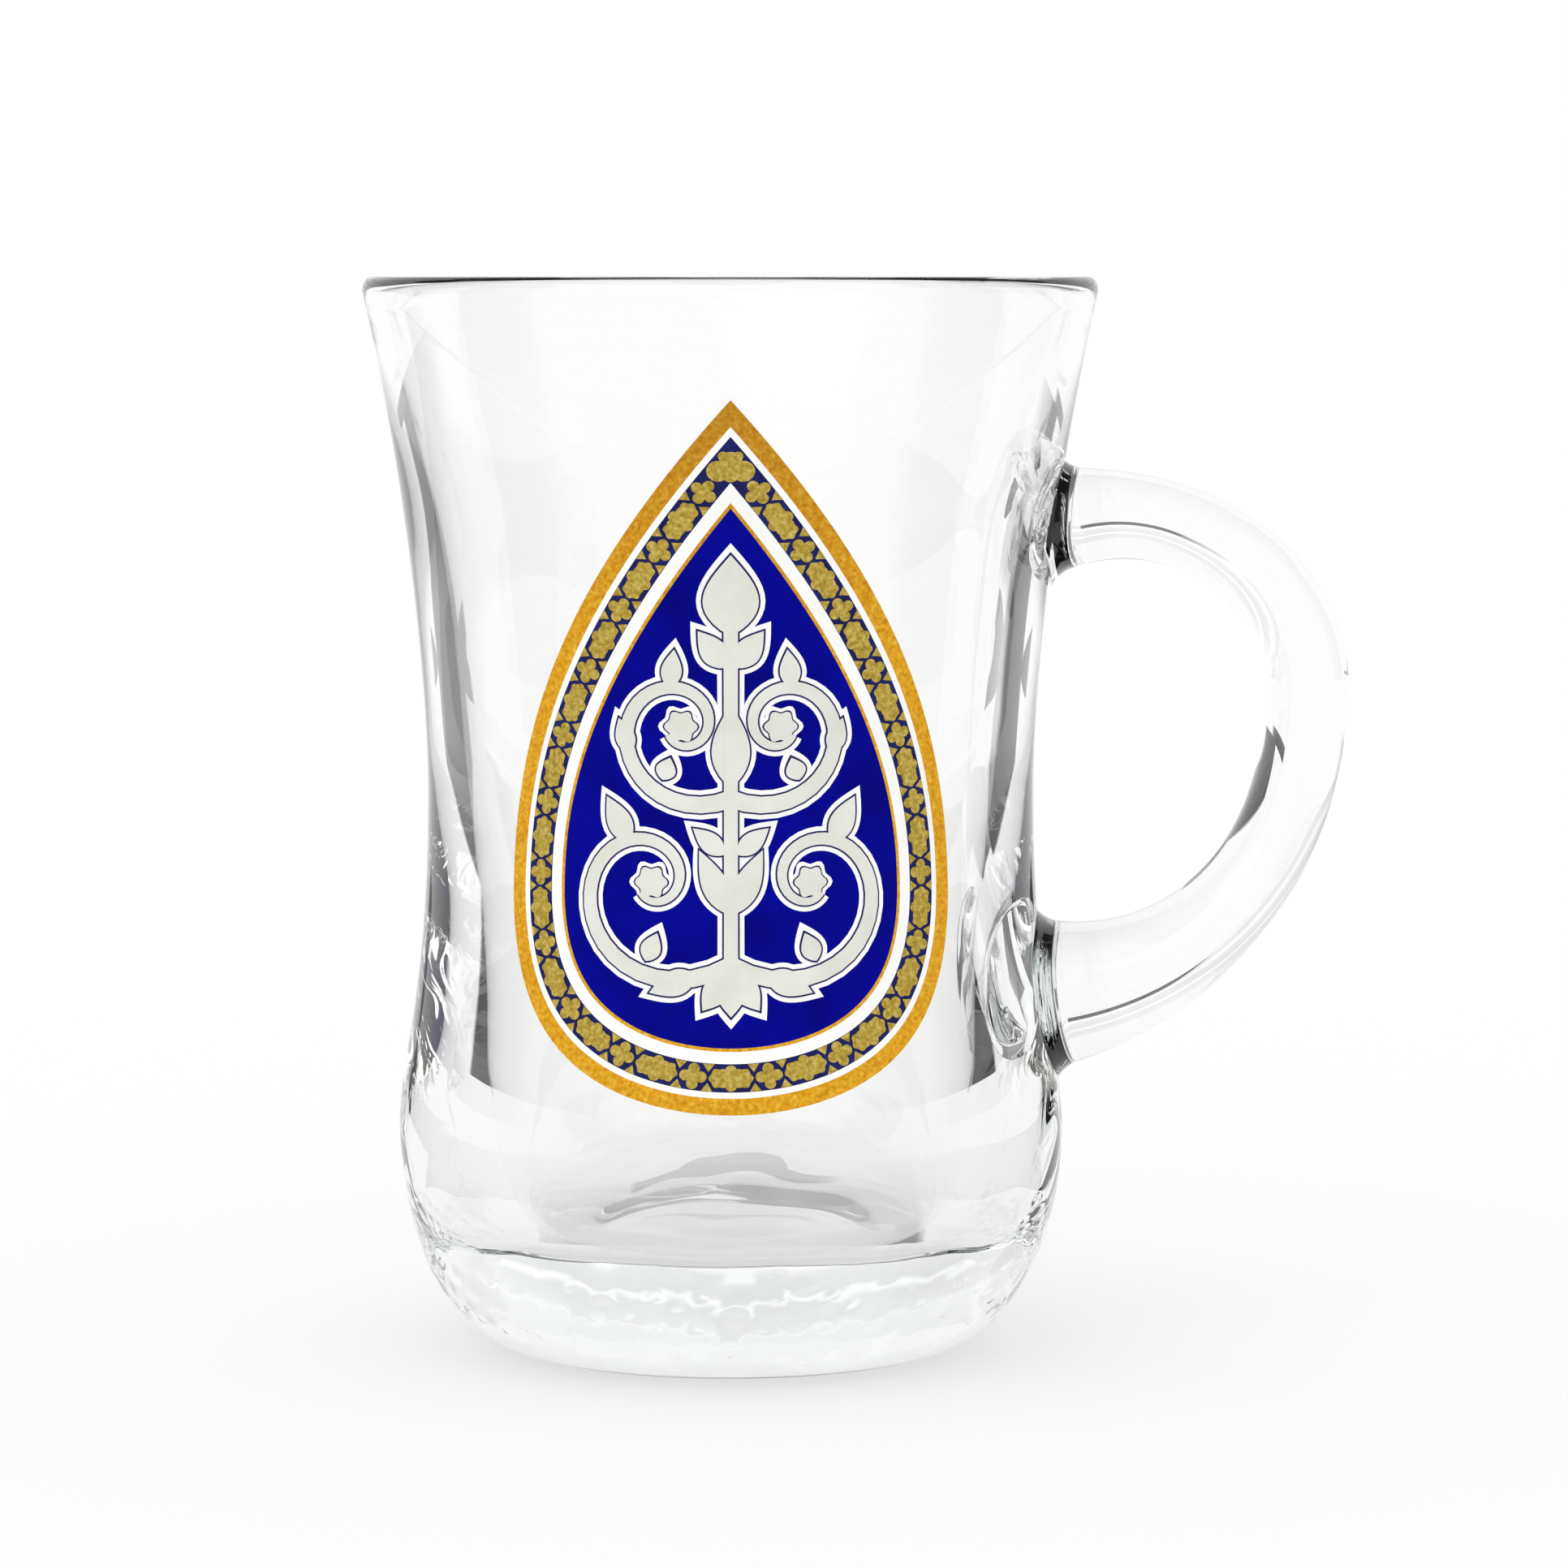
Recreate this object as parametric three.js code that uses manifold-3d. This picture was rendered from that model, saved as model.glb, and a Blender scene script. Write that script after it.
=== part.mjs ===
// Handled tea glass: a waisted, thick-bottomed pressed-glass mug with a welded D handle
// and a teardrop medallion of fired enamel on its front.
// Millimetres, +Z up. The origin is on the axis of the body, at the level it stands on.
// The handle is towards +X and the medallion faces -Y.
import * as THREE from 'three';
import { TessellateModifier } from 'three/addons/modifiers/TessellateModifier.js';
import { mergeVertices } from 'three/addons/utils/BufferGeometryUtils.js';
import Module from 'manifold-3d';

const wasm = await Module();
wasm.setup();

// Outside of the body
const HEIGHT = 102.3;
const RIM_DIAMETER = 70;
const RIM_LEAN_DEG = 12.8;
const WAIST_DIAMETER = 58;
const WAIST_HEIGHT = 54;
const BULGE_DIAMETER = 63.8;
const BULGE_HEIGHT = 21.5;
const FOOT_DIAMETER = 40;
const RECESS_DIAMETER = 36;
const RECESS_DEPTH = 0.6;
const RECESS_BEVEL = 9;

// Lengths over which the outer wall holds its direction at each level
const BULGE_EASE = 6;
const WAIST_EASE_BELOW = 20;
const WAIST_EASE_ABOVE = 8;
const RIM_EASE = 19.5;

// Inside of the body
const RIM_WALL = 2;
const LIP_RISE = 1.3;
const WAIST_WALL = 3.7;
const BULGE_WALL = 8;
const BASE_THICKNESS = 12;
const FLOOR_FILLET_WIDTH = 4.5;
const FLOOR_FILLET_HEIGHT = 16;
const CAVITY_WAIST_LEAN_DEG = 4;
const CAVITY_RIM_LEAN_DEG = 11;
const CAVITY_EASE_ABOVE = 25;
const CAVITY_EASE_BELOW = 12;

// Handle
const TOP_ROOT_HEIGHT = 78.8;
const LOW_ROOT_HEIGHT = 33.5;
const HANDLE_MID_HEIGHT = 63.7;
const FINGER_GAP = 22.4;
const HANDLE_THICKNESS = 7.8;
const HANDLE_WIDTH = 11;
const TOP_ROOT_THICKNESS = 10.6;
const TOP_ROOT_WIDTH = 15;
const TOP_ROOT_FLARE = 15;
const LOW_ROOT_THICKNESS = 15.3;
const LOW_ROOT_WIDTH = 17;
const LOW_ROOT_FLARE = 32;
const TOP_ARM_EASE = 15.5;
const TOP_ARM_RISE_DEG = 14;
const LOW_ARM_EASE = 15.4;
const LOW_ARM_RISE_DEG = 1.5;
const GRIP_EASE_ABOVE = 8.7;
const GRIP_EASE_BELOW = 18.6;
const SECTION_SQUARENESS = 2.3;
const WELD_GAP = 0.3;

// Medallion, measured on the unrolled sheet
const PRINT_RIM_CLEARANCE = 11;
const PRINT_BOTTOM = 26.4;
const PRINT_WIDEST_HEIGHT = 46.9;
const PRINT_WIDTH = 43.9;
const PRINT_TIP_HALF_ANGLE_DEG = 38.7;
const PRINT_TIP_EASE = 31;
const PRINT_SIDE_EASE_ABOVE = 9.8;
const PRINT_SIDE_EASE_BELOW = 15;
const PRINT_BOTTOM_EASE = 10.3;
const GOLD_BORDER = 1.5;
const WHITE_LINE = 0.55;
const BLUE_BAND = 2.55;
const WHITE_BAND = 1.1;
const GOLD_LINE = 0.3;
const INK_THICKNESS = 0.06;
const INK_GAP = 0.06;

// Ornament of the inner field, drawn on a grid that divides half the field's width
const GRID_COUNT = 16;
const STEM_WIDTH = 2.4;
const VINE_WIDTH = 2.7;
const VINE_TIP_WIDTH = 1.7;
const LEAF_WIDTH = 3.5;
const SHOOT_WIDTH = 3;
const KNOT_WIDTH = 4.6;
const BUD_WIDTH = 6;
const ROSETTE_RADIUS = 2.1;
const ROSETTE_LOBES = 6;
const ROSETTE_LOBE_DEPTH = 0.22;

// Fineness of the facets
const TURN_STEPS = 54;
const WALL_STEPS = 7;
const LIP_STEPS = 6;
const RECESS_STEPS = 4;
const HANDLE_STEPS = 36;
const HANDLE_SIDES = 16;
const PRINT_STEPS = 28;
const FIELD_RINGS = 6;
const VINE_STEPS = 18;
const LEAF_STEPS = 4;
const LOBE_STEPS = 3;
const INK_EDGE = 3.2;
const INK_SPLITS = 10;
const INK_FINEST_STEP = 0.2;
const INK_SMALLEST_GAP_AREA = 0.4;
const RIBBON_PROBE = 0.01;
const MERGE_DISTANCE = 1e-4;

const rimRadius = RIM_DIAMETER / 2;
const waistRadius = WAIST_DIAMETER / 2;
const bulgeRadius = BULGE_DIAMETER / 2;
const footRadius = FOOT_DIAMETER / 2;
const recessRadius = RECESS_DIAMETER / 2;
const lipHeight = HEIGHT - LIP_RISE;
const bulgeInside = bulgeRadius - BULGE_WALL;
const filletTop = BASE_THICKNESS + FLOOR_FILLET_HEIGHT;
const printTop = HEIGHT - PRINT_RIM_CLEARANCE;
const printHalfWidth = PRINT_WIDTH / 2;
const bandInset = GOLD_BORDER + WHITE_LINE;
const whiteBandInset = bandInset + BLUE_BAND;
const goldLineInset = whiteBandInset + WHITE_BAND;
const fieldInset = goldLineInset + GOLD_LINE;
const gridUnit = (printHalfWidth - fieldInset) / GRID_COUNT;

const point = (x, y) => new THREE.Vector2(x, y);
const radians = THREE.MathUtils.degToRad;
const slope = (degrees) => Math.tan(radians(degrees));
const mirrored = (points) => points.map((p) => point(-p.x, p.y));

// Booleans: a closed geometry becomes a solid, and a solid becomes a geometry again
function solidFrom(geometry) {
  geometry.deleteAttribute('normal');
  geometry.deleteAttribute('uv');
  const merged = mergeVertices(geometry, MERGE_DISTANCE);
  const index = merged.index.array;
  const triangles = [];
  for (let i = 0; i < index.length; i += 3) {
    const [a, b, c] = index.slice(i, i + 3);
    if (a !== b && b !== c && c !== a) triangles.push(a, b, c);
  }
  return new wasm.Manifold(new wasm.Mesh({
    numProp: 3,
    vertProperties: new Float32Array(merged.attributes.position.array),
    triVerts: new Uint32Array(triangles),
  }));
}

function geometryFrom(solid) {
  const mesh = solid.getMesh();
  const geometry = new THREE.BufferGeometry();
  geometry.setAttribute('position', new THREE.BufferAttribute(mesh.vertProperties, mesh.numProp));
  geometry.setIndex(new THREE.BufferAttribute(mesh.triVerts, 1));
  geometry.computeVertexNormals();
  return geometry;
}

// Revolved profiles: x is the radius and y the height, traced with the glass on the left.
// A facet, not an edge between two, faces straight to the front.
function revolve(profile) {
  return new THREE.LatheGeometry(profile, TURN_STEPS, Math.PI / TURN_STEPS).rotateX(Math.PI / 2);
}

function joinCurves(curves) {
  const points = [];
  for (const [curve, steps] of curves) {
    const sampled = curve.getPoints(steps);
    points.push(...(points.length ? sampled.slice(1) : sampled));
  }
  return points;
}

function outerWall() {
  const foot = new THREE.EllipseCurve(
    footRadius, BULGE_HEIGHT, bulgeRadius - footRadius, BULGE_HEIGHT, -Math.PI / 2, 0,
  );
  const belly = new THREE.CubicBezierCurve(
    point(bulgeRadius, BULGE_HEIGHT),
    point(bulgeRadius, BULGE_HEIGHT + BULGE_EASE),
    point(waistRadius, WAIST_HEIGHT - WAIST_EASE_BELOW),
    point(waistRadius, WAIST_HEIGHT),
  );
  const flare = new THREE.CubicBezierCurve(
    point(waistRadius, WAIST_HEIGHT),
    point(waistRadius, WAIST_HEIGHT + WAIST_EASE_ABOVE),
    point(rimRadius - RIM_EASE * slope(RIM_LEAN_DEG), lipHeight - RIM_EASE),
    point(rimRadius, lipHeight),
  );
  return joinCurves([[foot, WALL_STEPS], [belly, WALL_STEPS], [flare, WALL_STEPS + 1]]);
}

function innerWall() {
  const waistInside = waistRadius - WAIST_WALL;
  const waistLean = slope(CAVITY_WAIST_LEAN_DEG);
  const rimInside = rimRadius - RIM_WALL;
  const flare = new THREE.CubicBezierCurve(
    point(rimInside, lipHeight),
    point(rimInside - CAVITY_EASE_ABOVE * slope(CAVITY_RIM_LEAN_DEG), lipHeight - CAVITY_EASE_ABOVE),
    point(waistInside + CAVITY_EASE_ABOVE * waistLean, WAIST_HEIGHT + CAVITY_EASE_ABOVE),
    point(waistInside, WAIST_HEIGHT),
  );
  const side = new THREE.CubicBezierCurve(
    point(waistInside, WAIST_HEIGHT),
    point(waistInside - CAVITY_EASE_BELOW * waistLean, WAIST_HEIGHT - CAVITY_EASE_BELOW),
    point(bulgeInside, filletTop + CAVITY_EASE_BELOW),
    point(bulgeInside, filletTop),
  );
  const fillet = new THREE.EllipseCurve(
    bulgeInside - FLOOR_FILLET_WIDTH, filletTop, FLOOR_FILLET_WIDTH, FLOOR_FILLET_HEIGHT, 0, -Math.PI / 2, true,
  );
  return joinCurves([[flare, WALL_STEPS + 1], [side, WALL_STEPS - 1], [fillet, WALL_STEPS - 2]]);
}

const wall = outerWall();

// Radius of the faceted outer wall at a height
function wallRadius(height) {
  const above = wall.findIndex((p) => p.y >= height);
  const [low, high] = [wall[above - 1], wall[above]];
  return THREE.MathUtils.mapLinear(height, low.y, high.y, low.x, high.x);
}

function bodyGeometry() {
  const lip = new THREE.EllipseCurve(
    rimRadius - RIM_WALL / 2, lipHeight, RIM_WALL / 2, LIP_RISE, 0, Math.PI,
  );
  const recessMiddle = recessRadius - RECESS_BEVEL / 2;
  const recess = new THREE.CubicBezierCurve(
    point(recessRadius - RECESS_BEVEL, RECESS_DEPTH),
    point(recessMiddle, RECESS_DEPTH),
    point(recessMiddle, 0),
    point(recessRadius, 0),
  );
  return revolve([
    point(0, RECESS_DEPTH),
    ...recess.getPoints(RECESS_STEPS),
    ...wall,
    ...lip.getPoints(LIP_STEPS).slice(1, -1),
    ...innerWall(),
    point(0, BASE_THICKNESS),
  ]);
}

// Space that the body fills on its outside, grown by the weld gap, which trims the handle's roots
function weldEnvelope() {
  const grown = wall.map((p) => point(p.x + WELD_GAP, p.y));
  return solidFrom(revolve([point(0, 0), ...grown, point(0, lipHeight)]));
}

// Centre line of the handle in the XZ plane, from the upper root round to the lower one
function handleLine() {
  const topRoot = point(wallRadius(TOP_ROOT_HEIGHT) - WAIST_WALL / 2, TOP_ROOT_HEIGHT);
  const lowRoot = point(wallRadius(LOW_ROOT_HEIGHT) - WAIST_WALL / 2, LOW_ROOT_HEIGHT);
  const grip = point(waistRadius + FINGER_GAP + HANDLE_THICKNESS / 2, HANDLE_MID_HEIGHT);
  const line = new THREE.CurvePath();
  line.add(new THREE.CubicBezierCurve(
    topRoot,
    point(topRoot.x + TOP_ARM_EASE, topRoot.y + TOP_ARM_EASE * slope(TOP_ARM_RISE_DEG)),
    point(grip.x, grip.y + GRIP_EASE_ABOVE),
    grip,
  ));
  line.add(new THREE.CubicBezierCurve(
    grip,
    point(grip.x, grip.y - GRIP_EASE_BELOW),
    point(lowRoot.x + LOW_ARM_EASE, lowRoot.y + LOW_ARM_EASE * slope(LOW_ARM_RISE_DEG)),
    lowRoot,
  ));
  return line;
}

// Growth of the section towards a root: 1 at the root, falling smoothly to 0 at the flare's length
const flareAt = (distance, length) => Math.max(0, 1 - distance / length) ** 2;

function sectionAt(fromTop, fromLow) {
  const top = flareAt(fromTop, TOP_ROOT_FLARE);
  const low = flareAt(fromLow, LOW_ROOT_FLARE);
  const grow = (middle, atTop, atLow) => middle + (atTop - middle) * top + (atLow - middle) * low;
  return {
    thickness: grow(HANDLE_THICKNESS, TOP_ROOT_THICKNESS, LOW_ROOT_THICKNESS),
    width: grow(HANDLE_WIDTH, TOP_ROOT_WIDTH, LOW_ROOT_WIDTH),
  };
}

// Rounded-square curve: a circle's cosine or sine, pushed out towards the corners
const squared = (wave) => Math.sign(wave) * Math.abs(wave) ** (2 / SECTION_SQUARENESS);

function handleGeometry() {
  const line = handleLine();
  const length = line.getLength();
  const positions = [];
  const faces = [];
  for (let i = 0; i <= HANDLE_STEPS; i += 1) {
    const share = i / HANDLE_STEPS;
    const centre = line.getPointAt(share);
    const along = line.getTangentAt(share);
    const { thickness, width } = sectionAt(share * length, (1 - share) * length);
    for (let j = 0; j < HANDLE_SIDES; j += 1) {
      const angle = (2 * Math.PI * j) / HANDLE_SIDES;
      const out = squared(Math.cos(angle)) * thickness / 2;
      const across = squared(Math.sin(angle)) * width / 2;
      positions.push(centre.x - along.y * out, across, centre.y + along.x * out);
    }
  }
  const corner = (i, j) => i * HANDLE_SIDES + (j % HANDLE_SIDES);
  for (let i = 0; i < HANDLE_STEPS; i += 1) {
    for (let j = 0; j < HANDLE_SIDES; j += 1) {
      faces.push(corner(i, j), corner(i + 1, j), corner(i, j + 1));
      faces.push(corner(i + 1, j), corner(i + 1, j + 1), corner(i, j + 1));
    }
  }
  for (let j = 1; j < HANDLE_SIDES - 1; j += 1) {
    faces.push(corner(0, 0), corner(0, j), corner(0, j + 1));
    faces.push(corner(HANDLE_STEPS, 0), corner(HANDLE_STEPS, j + 1), corner(HANDLE_STEPS, j));
  }
  const tube = new THREE.BufferGeometry();
  tube.setAttribute('position', new THREE.Float32BufferAttribute(positions, 3));
  tube.setIndex(faces);
  return geometryFrom(solidFrom(tube).subtract(weldEnvelope()));
}

// Medallion outlines are drawn flat: x is the distance round the waist from the front line, y the height.
// The right half runs from the bottom to the tip and is drawn an inset inside the printed edge.
function halfTeardrop(inset) {
  const lower = new THREE.CubicBezierCurve(
    point(0, PRINT_BOTTOM),
    point(PRINT_BOTTOM_EASE, PRINT_BOTTOM),
    point(printHalfWidth, PRINT_WIDEST_HEIGHT - PRINT_SIDE_EASE_BELOW),
    point(printHalfWidth, PRINT_WIDEST_HEIGHT),
  );
  const tip = radians(PRINT_TIP_HALF_ANGLE_DEG);
  const upper = new THREE.CubicBezierCurve(
    point(printHalfWidth, PRINT_WIDEST_HEIGHT),
    point(printHalfWidth, PRINT_WIDEST_HEIGHT + PRINT_SIDE_EASE_ABOVE),
    point(PRINT_TIP_EASE * Math.sin(tip), printTop - PRINT_TIP_EASE * Math.cos(tip)),
    point(0, printTop),
  );
  const half = new THREE.CurvePath();
  let last = point(0, PRINT_BOTTOM + inset);
  for (const curve of [lower, upper]) {
    for (let i = 1; i <= PRINT_STEPS && last.x >= 0; i += 1) {
      const edge = curve.getPoint(i / PRINT_STEPS);
      const along = curve.getTangent(i / PRINT_STEPS);
      const next = point(edge.x - along.y * inset, edge.y + along.x * inset);
      const crossing = THREE.MathUtils.mapLinear(0, last.x, next.x, last.y, next.y);
      half.add(new THREE.LineCurve(last, next.x > 0 ? next : point(0, crossing)));
      last = next.x > 0 ? next : point(-1, crossing);
    }
  }
  return half;
}

// Closed outline with the same number of evenly spaced points at every inset
function teardrop(inset) {
  const right = halfTeardrop(inset).getSpacedPoints(PRINT_STEPS);
  return [...right, ...mirrored(right.slice(1, -1)).reverse()];
}

// Place on a film that stands off the outer wall by a lift
function onWall(flat, lift) {
  const angle = flat.x / waistRadius;
  const reach = wallRadius(flat.y) + lift;
  return [reach * Math.sin(angle), -reach * Math.cos(angle), flat.y];
}

const inkLift = (layer) => INK_GAP + layer * (INK_THICKNESS + INK_GAP);

// Film between nested outlines. With a centre it is a full sheet, and without one the last outline is a hole.
function nestedFilm(outlines, centre) {
  const count = outlines[0].length;
  const flat = centre ? [...outlines.flat(), centre] : outlines.flat();
  const lifts = [inkLift(0), inkLift(0) + INK_THICKNESS];
  const positions = lifts.flatMap((lift) => flat.flatMap((p) => onWall(p, lift)));
  const back = (ring, j) => ring * count + (j % count);
  const front = (ring, j) => flat.length + back(ring, j);
  const lastRing = outlines.length - 1;
  const faces = [];
  const quad = (a, b, c, d) => faces.push(a, b, c, a, c, d);
  for (let j = 0; j < count; j += 1) {
    for (let ring = 0; ring < lastRing; ring += 1) {
      quad(front(ring, j), front(ring, j + 1), front(ring + 1, j + 1), front(ring + 1, j));
      quad(back(ring, j), back(ring + 1, j), back(ring + 1, j + 1), back(ring, j + 1));
    }
    quad(front(0, j), back(0, j), back(0, j + 1), front(0, j + 1));
    if (centre) {
      faces.push(front(lastRing, j), front(lastRing, j + 1), 2 * flat.length - 1);
      faces.push(back(lastRing, j + 1), back(lastRing, j), flat.length - 1);
    } else {
      quad(front(lastRing, j), front(lastRing, j + 1), back(lastRing, j + 1), back(lastRing, j));
    }
  }
  const film = new THREE.BufferGeometry();
  film.setAttribute('position', new THREE.Float32BufferAttribute(positions, 3));
  film.setIndex(faces);
  film.computeVertexNormals();
  return film;
}

const ringFilm = (outerInset, innerInset) => nestedFilm([teardrop(outerInset), teardrop(innerInset)]);

function fieldFilm() {
  const centre = point(0, PRINT_WIDEST_HEIGHT);
  const edge = teardrop(fieldInset);
  const outlines = [];
  for (let ring = FIELD_RINGS; ring > 0; ring -= 1) {
    outlines.push(edge.map((p) => centre.clone().lerp(p, ring / FIELD_RINGS)));
  }
  return nestedFilm(outlines, centre);
}

// Ornament: paired volutes on a middle stem, with leaves, in the inner field
// Strip of changing width along a line, given as functions of the share of its length
function ribbon(centreAt, widthAt) {
  const left = [];
  const right = [];
  for (let i = 0; i <= VINE_STEPS; i += 1) {
    const share = i / VINE_STEPS;
    const centre = centreAt(share);
    const along = centreAt(share + RIBBON_PROBE).sub(centreAt(share - RIBBON_PROBE)).normalize();
    const half = widthAt(share) / 2;
    left.push(point(centre.x - along.y * half, centre.y + along.x * half));
    right.push(point(centre.x + along.y * half, centre.y - along.x * half));
  }
  return [...right, ...left.reverse()];
}

const vineWidth = (share) => THREE.MathUtils.lerp(VINE_WIDTH, VINE_TIP_WIDTH, share);

// Volute that leaves the stem at stemHeight and winds in, shrinking by the same factor each turn
function volute({ eye, stemHeight, shrinkPerTurn, turns }) {
  const startRadius = Math.hypot(eye.x, eye.y - stemHeight);
  const startAngle = Math.atan2(stemHeight - eye.y, -eye.x);
  const centreAt = (share) => {
    const radius = startRadius * shrinkPerTurn ** (turns * share);
    const angle = startAngle + 2 * Math.PI * turns * share;
    return point(eye.x + radius * Math.cos(angle), eye.y + radius * Math.sin(angle));
  };
  return ribbon(centreAt, vineWidth);
}

// Pointed leaf from its base, leaning from upright by a number of degrees towards +x.
// Its length is in grid units.
function leaf(base, leanDeg, units, width) {
  const lean = radians(leanDeg);
  const length = units * gridUnit;
  const spot = (along, across) => point(
    base.x + along * Math.sin(lean) + across * Math.cos(lean),
    base.y + along * Math.cos(lean) - across * Math.sin(lean),
  );
  const side = (sign) => {
    const points = [];
    for (let i = 1; i < LEAF_STEPS; i += 1) {
      const share = i / LEAF_STEPS;
      const swell = Math.sin(Math.PI * share ** 0.8) * width / 2;
      points.push(spot(share * length, sign * swell));
    }
    return points;
  };
  return [spot(0, 0), ...side(1), spot(length, 0), ...side(-1).reverse()];
}

function rosette(centre) {
  const points = [];
  const count = ROSETTE_LOBES * LOBE_STEPS;
  for (let i = 0; i < count; i += 1) {
    const angle = (2 * Math.PI * i) / count;
    const radius = ROSETTE_RADIUS * (1 - ROSETTE_LOBE_DEPTH * (1 - Math.cos(angle * ROSETTE_LOBES)) / 2);
    points.push(point(centre.x + radius * Math.cos(angle), centre.y + radius * Math.sin(angle)));
  }
  return points;
}

// Levels and places on the field in grid units, measured from its widest level
const level = (rise) => PRINT_WIDEST_HEIGHT + rise * gridUnit;
const place = (x, rise) => point(x * gridUnit, level(rise));

function ornamentOutlines() {
  const lowVolute = { eye: place(7.3, 0.5), stemHeight: level(-7), shrinkPerTurn: 0.2, turns: 1.25 };
  const topVolute = { eye: place(4.5, 14.8), stemHeight: level(8.2), shrinkPerTurn: 0.25, turns: 1.25 };
  const stemLine = (share) => place(0, THREE.MathUtils.lerp(-9, 24, share));
  const middle = [
    ribbon(stemLine, () => STEM_WIDTH),
    leaf(place(0, 22.4), 0, 9.2, BUD_WIDTH),
    leaf(place(0, 8.5), 0, 9.5, KNOT_WIDTH),
    leaf(place(0, -7.6), 180, 5.2, LEAF_WIDTH),
  ];
  const paired = [
    volute(lowVolute),
    volute(topVolute),
    rosette(lowVolute.eye),
    rosette(topVolute.eye),
    leaf(place(0, 19.6), 36, 6, LEAF_WIDTH),
    leaf(place(5.6, 17.6), -8, 5.4, SHOOT_WIDTH),
    leaf(place(9, 11.6), 18, 5.2, SHOOT_WIDTH),
    leaf(place(6.5, 9.2), -20, 4, SHOOT_WIDTH),
    leaf(place(9, 3.4), 28, 6.6, LEAF_WIDTH),
    leaf(place(0, 2.6), 50, 5.6, SHOOT_WIDTH),
    leaf(place(0, -3), 24, 8.2, LEAF_WIDTH),
    leaf(place(8, -7.4), -22, 4.6, SHOOT_WIDTH),
    leaf(place(2.4, -7.6), 112, 6.4, LEAF_WIDTH),
    leaf(place(0, -7.4), 146, 5.6, LEAF_WIDTH),
  ];
  return [...middle, ...paired, ...paired.map(mirrored)];
}

// Flat sheet of ink inside a shape
const inkSheet = (shape) => new THREE.ExtrudeGeometry(shape, { depth: INK_THICKNESS, bevelEnabled: false });

// Loops round the upper face of a flat sheet, found from the triangles of its edge
function sheetLoops(sheet) {
  const { vertProperties, triVerts } = sheet.getMesh();
  const isUpper = (corner) => vertProperties[3 * corner + 2] > INK_THICKNESS / 2;
  const following = new Map();
  for (let i = 0; i < triVerts.length; i += 3) {
    const corners = triVerts.slice(i, i + 3);
    if (corners.filter(isUpper).length === 2) {
      const lower = corners.findIndex((corner) => !isUpper(corner));
      following.set(corners[(lower + 2) % 3], corners[(lower + 1) % 3]);
    }
  }
  const loops = [];
  while (following.size) {
    const loop = [];
    let [corner] = following.keys();
    while (following.has(corner)) {
      loop.push(point(vertProperties[3 * corner], vertProperties[3 * corner + 1]));
      const next = following.get(corner);
      following.delete(corner);
      corner = next;
    }
    loops.push(loop);
  }
  return loops;
}

// Loop without the points that lie too close to the one before to print
function printable(loop) {
  const kept = [loop[0]];
  for (const p of loop.slice(1)) {
    const step = Math.min(p.distanceTo(kept.at(-1)), p.distanceTo(kept[0]));
    if (step > INK_FINEST_STEP) kept.push(p);
  }
  return kept;
}

const loopArea = (loop) => Math.abs(THREE.ShapeUtils.area(loop));

// One shape round all the outlines together, with the gaps between them that are wide enough to print
function joinedShape(outlines) {
  const sheets = outlines.map((outline) => solidFrom(inkSheet(new THREE.Shape(outline))));
  const joined = sheets.reduce((sum, sheet) => sum.add(sheet));
  const loops = sheetLoops(joined).map(printable).sort((a, b) => loopArea(b) - loopArea(a));
  const shape = new THREE.Shape(loops[0]);
  const gaps = loops.slice(1).filter((loop) => loopArea(loop) > INK_SMALLEST_GAP_AREA);
  shape.holes = gaps.map((gap) => new THREE.Path(gap));
  return shape;
}

// The outlines are joined while flat, and the sheet is then wrapped on the wall over the field
function ornamentFilm() {
  const flatFilm = inkSheet(joinedShape(ornamentOutlines()));
  flatFilm.deleteAttribute('normal');
  flatFilm.deleteAttribute('uv');
  const film = mergeVertices(new TessellateModifier(INK_EDGE, INK_SPLITS).modify(flatFilm), MERGE_DISTANCE);
  const { position } = film.attributes;
  for (let i = 0; i < position.count; i += 1) {
    const flat = point(position.getX(i), position.getY(i));
    position.setXYZ(i, ...onWall(flat, inkLift(1) + position.getZ(i)));
  }
  film.computeVertexNormals();
  return film;
}

// Materials
const clearGlass = () => new THREE.MeshStandardMaterial({
  color: 0xeef3f1, roughness: 0.04, metalness: 0, transparent: true, opacity: 0.35,
});
const enamel = (color, roughness, metalness) => new THREE.MeshStandardMaterial({ color, roughness, metalness });
const whiteEnamel = () => enamel(0xf4f4f1, 0.35, 0);
const blueEnamel = () => enamel(0x00007f, 0.3, 0);
const goldEnamel = () => enamel(0xd9a21b, 0.4, 0.3);

// Assembly
const tea_glass = new THREE.Group();

function addPiece(name, geometry, material) {
  const piece = new THREE.Mesh(geometry, material);
  piece.name = name;
  tea_glass.add(piece);
}

addPiece('glass_body', bodyGeometry(), clearGlass());
addPiece('handle', handleGeometry(), clearGlass());
addPiece('print_gold_border', ringFilm(0, GOLD_BORDER), goldEnamel());
addPiece('print_white_line', ringFilm(GOLD_BORDER, bandInset), whiteEnamel());
addPiece('print_blue_band', ringFilm(bandInset, whiteBandInset), blueEnamel());
addPiece('print_white_band', ringFilm(whiteBandInset, goldLineInset), whiteEnamel());
addPiece('print_gold_line', ringFilm(goldLineInset, fieldInset), goldEnamel());
addPiece('print_blue_field', fieldFilm(), blueEnamel());
addPiece('print_white_ornament', ornamentFilm(), whiteEnamel());

export default tea_glass;
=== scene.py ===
import math

import bpy
import numpy as np
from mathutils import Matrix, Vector
from mathutils.geometry import delaunay_2d_cdt


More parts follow.
